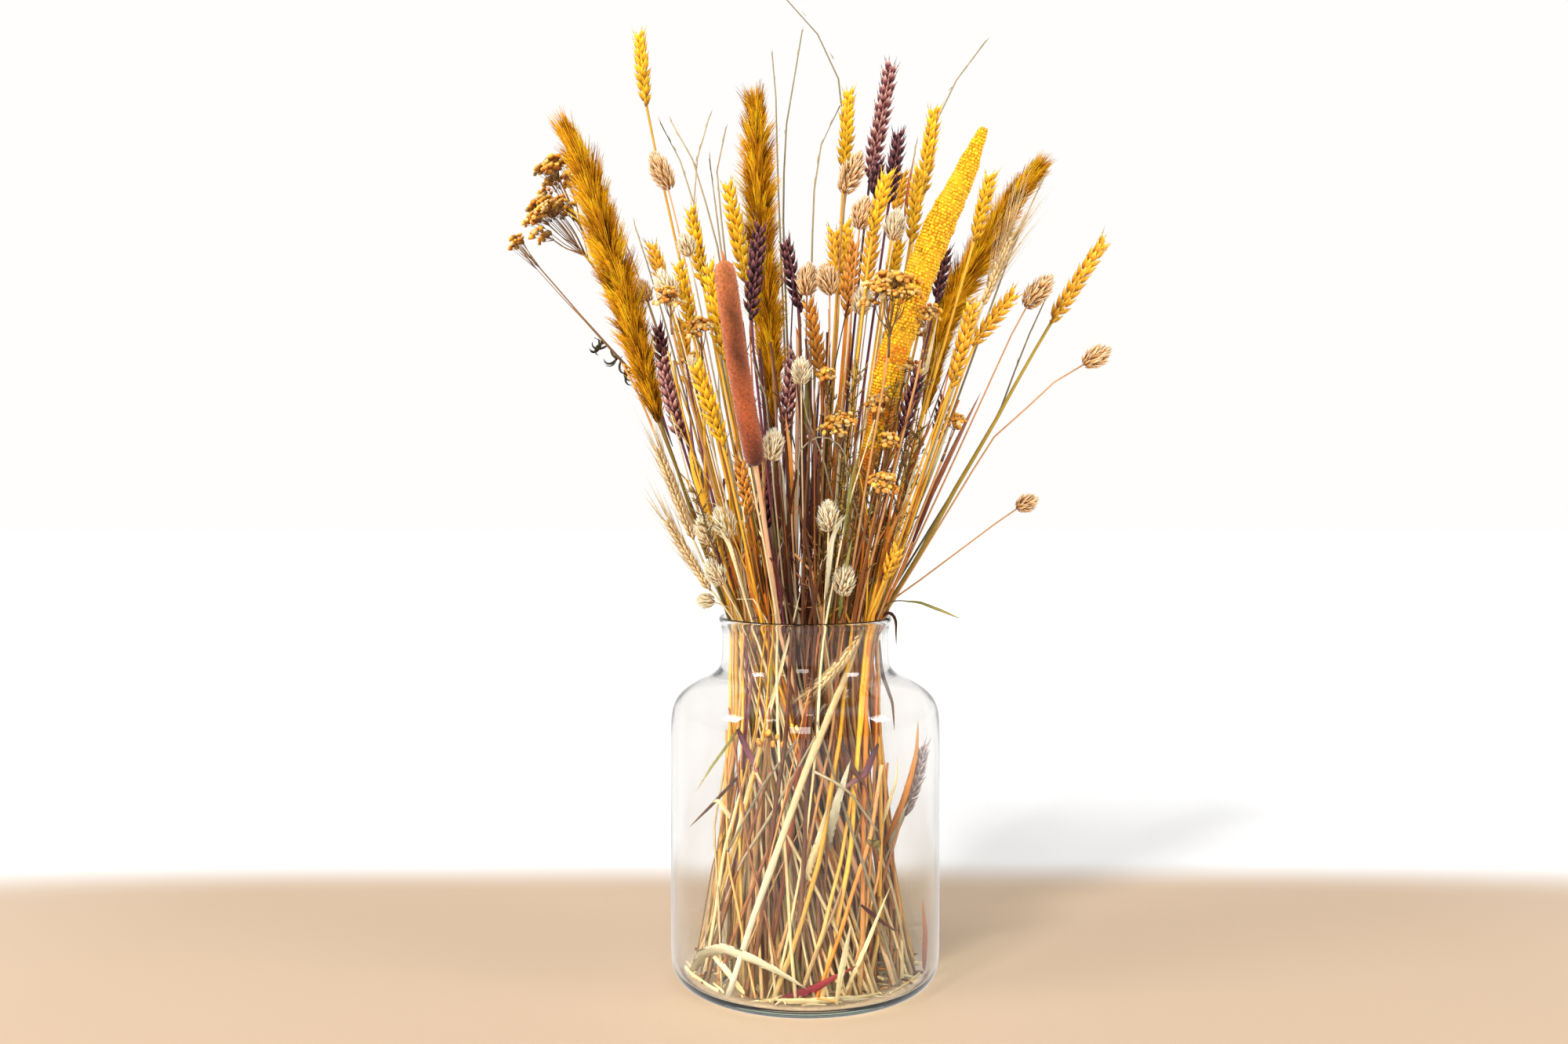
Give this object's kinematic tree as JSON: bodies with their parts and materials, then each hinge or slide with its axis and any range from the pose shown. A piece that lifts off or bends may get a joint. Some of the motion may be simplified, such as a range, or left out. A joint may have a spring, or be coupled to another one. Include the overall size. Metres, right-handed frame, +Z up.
{
  "type": "vase of dried flowers",
  "caption": "Clear glass bottle-shaped vase holding a loose dry bouquet of dyed wheat, canary grass, reed plumes, a cattail, a millet spike, yarrow and bearded barley.",
  "frame": {"origin": "centre of the vase's flat underside", "axes": "+Z up along the vase's axis, -Y towards the front of the bouquet, +X to the right as seen from the front"},
  "size_m": [0.5919, 0.3677, 1.0103],
  "materials": {
    "clear_glass": "clear blown glass, fire-polished lip, faint green tint in the thick base",
    "wheat_gold": "dry wheat dyed yellow, ochre in the shade",
    "wheat_plum": "dry wheat dyed dark plum, rose on the edges",
    "canary_cream": "dry canary grass, cream husks",
    "canary_tan": "dry canary grass and leaves, tan husks",
    "plume_ochre": "dry reed plume, fine ochre tufts",
    "cattail_rust": "dyed cattail, matt velvety rust",
    "millet_yellow": "dyed millet spike, packed yellow grains with orange patches",
    "yarrow_brown": "dry yarrow, matt brown orange florets",
    "barley_straw": "dry barley with long bristles, straw colour",
    "grass_straw": "dry grass stalks, dull straw brown",
    "leaf_russet": "dry curled leaf, russet",
    "foliage_olive": "dry feathery foliage, dull olive"
  },
  "bodies": {
    "root": {"vase": "clear_glass", "wheat_gold_01": "wheat_gold", "wheat_gold_02": "wheat_gold", "wheat_gold_03": "wheat_gold", "wheat_gold_04": "wheat_gold", "wheat_gold_05": "wheat_gold", "wheat_gold_06": "wheat_gold", "wheat_gold_07": "wheat_gold", "wheat_gold_08": "wheat_gold", "wheat_gold_09": "wheat_gold", "wheat_gold_10": "wheat_gold", "wheat_gold_11": "wheat_gold", "wheat_gold_12": "wheat_gold", "wheat_gold_13": "wheat_gold", "wheat_gold_14": "wheat_gold", "wheat_gold_15": "wheat_gold", "wheat_gold_16": "wheat_gold", "wheat_plum_01": "wheat_plum", "wheat_plum_02": "wheat_plum", "wheat_plum_03": "wheat_plum", "wheat_plum_04": "wheat_plum", "wheat_plum_05": "wheat_plum", "wheat_plum_06": "wheat_plum", "wheat_plum_07": "wheat_plum", "wheat_plum_08": "wheat_plum", "wheat_plum_09": "wheat_plum", "wheat_plum_10": "wheat_plum", "canary_01": "canary_tan", "canary_02": "canary_cream", "canary_03": "canary_tan", "canary_04": "canary_cream", "canary_05": "canary_tan", "canary_06": "canary_cream", "canary_07": "canary_cream", "canary_08": "canary_cream", "canary_09": "canary_cream", "canary_10": "canary_cream", "plume_01": "plume_ochre", "plume_02": "plume_ochre", "plume_03": "plume_ochre", "cattail": "cattail_rust", "millet_spike": "millet_yellow", "yarrow_01": "yarrow_brown", "yarrow_02": "yarrow_brown", "yarrow_03": "yarrow_brown", "yarrow_04": "yarrow_brown", "yarrow_05": "yarrow_brown", "barley_01": "barley_straw", "barley_02": "barley_straw", "barley_03": "barley_straw", "grass_01": "grass_straw", "grass_02": "grass_straw", "grass_03": "grass_straw", "grass_04": "grass_straw", "grass_05": "grass_straw", "grass_06": "grass_straw", "leaf_blades": "leaf_russet", "feathery_foliage": "foliage_olive", "barley_04": "barley_straw", "leaf_litter": "canary_tan"}
  },
  "joints": []
}
